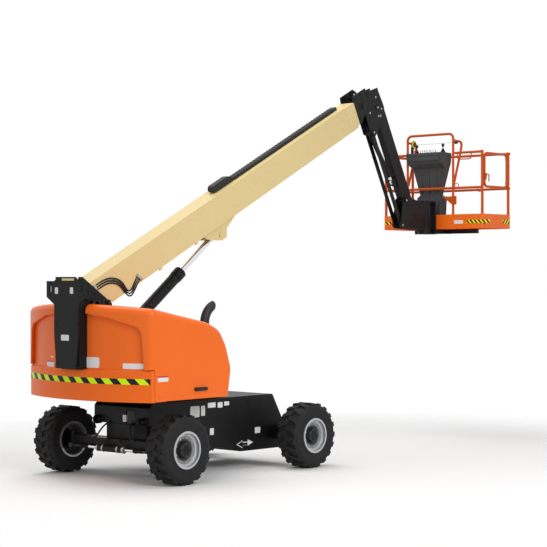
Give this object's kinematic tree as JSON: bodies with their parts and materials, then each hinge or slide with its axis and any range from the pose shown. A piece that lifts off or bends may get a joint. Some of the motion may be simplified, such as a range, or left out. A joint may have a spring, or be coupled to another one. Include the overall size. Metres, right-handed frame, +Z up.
{
  "type": "telescopic boom lift",
  "caption": "Self-propelled telescopic boom lift: wheeled chassis, slewing turntable, telescoping boom, folding jib and a rotating railed work platform",
  "frame": {"origin": "middle of the machine's length and width, on the ground under the wheels", "axes": "+X to the front, where the platform is, +Y to the left, +Z up"},
  "size_m": [8.091, 2.31, 5.202],
  "materials": {
    "tyre_black": "matte black rubber",
    "rim_silver": "satin silver grey paint",
    "orange_paint": "glossy orange enamel",
    "cream_paint": "glossy cream enamel",
    "black_paint": "satin black paint",
    "chrome_rod": "polished hard chrome",
    "rail_orange": "satin orange powder coat",
    "track_plastic": "black moulded plastic",
    "pad_plastic": "plain bearing plastic",
    "cast_orange": "painted cast iron",
    "engine_iron": "dark engine paint",
    "tank_plastic": "black moulded plastic",
    "console_grey": "dark grey moulded plastic",
    "exhaust_steel": "heat stained steel"
  },
  "bodies": {
    "chassis": {"chassis_frame": "black_paint", "front_axle": "black_paint", "rear_axle": "black_paint", "slew_ring": "black_paint"},
    "front_wheel_left": {"tyre_front_left": "tyre_black", "rim_front_left": "rim_silver"},
    "front_wheel_right": {"tyre_front_right": "tyre_black", "rim_front_right": "rim_silver"},
    "rear_wheel_left": {"tyre_rear_left": "tyre_black", "rim_rear_left": "rim_silver"},
    "rear_wheel_right": {"tyre_rear_right": "tyre_black", "rim_rear_right": "rim_silver"},
    "knuckle_left_body": {"knuckle_left": "black_paint"},
    "knuckle_right_body": {"knuckle_right": "black_paint"},
    "steer_rod_body": {"steer_rod": "chrome_rod"},
    "turntable": {"turntable_deck": "black_paint", "upright": "black_paint", "counterweight": "cast_orange", "rear_cover_left": "orange_paint", "rear_cover_right": "orange_paint", "engine": "engine_iron", "fuel_tank": "tank_plastic", "exhaust": "exhaust_steel"},
    "hood_left_body": {"hood_left": "orange_paint"},
    "hood_right_body": {"hood_right": "orange_paint"},
    "boom": {"boom_base": "cream_paint", "wear_pads": "pad_plastic", "cable_track": "track_plastic"},
    "fly": {"fly_boom": "cream_paint", "boom_nose": "black_paint"},
    "lift_rod_body": {"lift_rod": "chrome_rod"},
    "lift_barrel_body": {"lift_barrel": "black_paint"},
    "level_bracket_body": {"level_bracket": "black_paint"},
    "jib": {"jib_tube": "black_paint"},
    "link": {"level_link": "black_paint"},
    "jib_rod_body": {"jib_rod": "chrome_rod"},
    "jib_barrel_body": {"jib_barrel": "black_paint"},
    "support": {"platform_support": "black_paint"},
    "platform": {"platform_beam": "black_paint", "platform_floor": "orange_paint", "platform_rails": "rail_orange", "console": "console_grey"},
    "gate_body": {"gate": "rail_orange"}
  },
  "joints": [
    {"name": "spin_front_left", "type": "hinge", "parent": "chassis", "child": "front_wheel_left", "pos_m": [-0.8295, 1.002, 0.419], "axis": [0, 1, 0], "continuous": true},
    {"name": "spin_front_right", "type": "hinge", "parent": "chassis", "child": "front_wheel_right", "pos_m": [-0.8295, -1.002, 0.419], "axis": [0, 1, 0], "continuous": true},
    {"name": "steer_left", "type": "hinge", "parent": "chassis", "child": "knuckle_left_body", "pos_m": [-3.1695, 0.855, 0.419], "axis": [0, 0, 1], "range_deg": [-30, 30]},
    {"name": "steer_right", "type": "hinge", "parent": "chassis", "child": "knuckle_right_body", "pos_m": [-3.1695, -0.855, 0.419], "axis": [0, 0, 1], "range_deg": [-30, 30]},
    {"name": "steer_rod_slide", "type": "slide", "parent": "chassis", "child": "steer_rod_body", "axis": [0, 1, 0], "range_m": [-0.09, 0.09]},
    {"name": "spin_rear_left", "type": "hinge", "parent": "knuckle_left_body", "child": "rear_wheel_left", "pos_m": [-3.1695, 1.002, 0.419], "axis": [0, 1, 0], "continuous": true},
    {"name": "spin_rear_right", "type": "hinge", "parent": "knuckle_right_body", "child": "rear_wheel_right", "pos_m": [-3.1695, -1.002, 0.419], "axis": [0, 1, 0], "continuous": true},
    {"name": "slew", "type": "hinge", "parent": "chassis", "child": "turntable", "pos_m": [-1.9995, 0, 0.97], "axis": [0, 0, 1], "continuous": true},
    {"name": "hood_left_open", "type": "hinge", "parent": "turntable", "child": "hood_left_body", "pos_m": [-3.7345, 0.245, 2.176], "axis": [1, 0, 0], "range_deg": [0, 70]},
    {"name": "hood_right_open", "type": "hinge", "parent": "turntable", "child": "hood_right_body", "pos_m": [-3.7345, -0.245, 2.176], "axis": [-1, 0, 0], "range_deg": [0, 70]},
    {"name": "boom_lift", "type": "hinge", "parent": "turntable", "child": "boom", "pos_m": [-3.8995, 0, 2.225], "axis": [0, -1, 0], "range_deg": [-40, 46]},
    {"name": "lift_rod_eye", "type": "hinge", "parent": "boom", "child": "lift_rod_body", "pos_m": [-1.4995, 0, 3.006], "axis": [0, -1, 0], "range_deg": [-4, 4]},
    {"name": "lift_rod_slide", "type": "slide", "parent": "lift_rod_body", "child": "lift_barrel_body", "axis": [-0.7919, 0, -0.6106], "range_m": [-0.6, 0.7]},
    {"name": "telescope", "type": "slide", "parent": "boom", "child": "fly", "axis": [0.8912, 0, 0.4537], "range_m": [0, 4.6]},
    {"name": "level_tilt", "type": "hinge", "parent": "fly", "child": "level_bracket_body", "pos_m": [1.4705, 0, 4.9], "axis": [0, -1, 0], "range_deg": [-46.5, 40.5]},
    {"name": "jib_lift", "type": "hinge", "parent": "level_bracket_body", "child": "jib", "pos_m": [1.8465, 0, 4.912], "axis": [0, 1, 0], "range_deg": [-128, 10]},
    {"name": "level_link_turn", "type": "hinge", "parent": "level_bracket_body", "child": "link", "pos_m": [1.7605, 0, 4.545], "axis": [0, 1, 0], "range_deg": [-128.5, 10.5]},
    {"name": "jib_rod_eye", "type": "hinge", "parent": "jib", "child": "jib_rod_body", "pos_m": [2.2959, 0, 3.8495], "axis": [0, 1, 0], "range_deg": [-1, 7]},
    {"name": "jib_rod_slide", "type": "slide", "parent": "jib_rod_body", "child": "jib_barrel_body", "axis": [-0.61, 0, 0.7924], "range_m": [-0.06, 0.65]},
    {"name": "support_tilt", "type": "hinge", "parent": "jib", "child": "support", "pos_m": [2.5364, 0, 3.5868], "axis": [0, 1, 0], "range_deg": [-10.5, 128.5]},
    {"name": "platform_rotate", "type": "hinge", "parent": "support", "child": "platform", "pos_m": [3.0905, 0, 3.35], "axis": [0, 0, 1], "range_deg": [-90, 90]},
    {"name": "gate_open", "type": "hinge", "parent": "platform", "child": "gate_body", "pos_m": [3.9789, -0.8987, 4.05], "axis": [0, 0, -1], "range_deg": [0, 85]}
  ],
  "couplings": [
    {"joint": "steer_right", "follows": "steer_left", "ratio": 1},
    {"joint": "steer_rod_slide", "follows": "steer_left", "m_per_rad": -0.146},
    {"joint": "lift_rod_eye", "follows": "boom_lift", "ratio": -0.07},
    {"joint": "lift_rod_slide", "follows": "boom_lift", "m_per_rad": 0.8},
    {"joint": "level_tilt", "follows": "boom_lift", "ratio": -1},
    {"joint": "level_link_turn", "follows": "jib_lift", "ratio": 1},
    {"joint": "support_tilt", "follows": "jib_lift", "ratio": -1},
    {"joint": "jib_rod_eye", "follows": "jib_lift", "ratio": -0.05},
    {"joint": "jib_rod_slide", "follows": "jib_lift", "m_per_rad": -0.285}
  ]
}
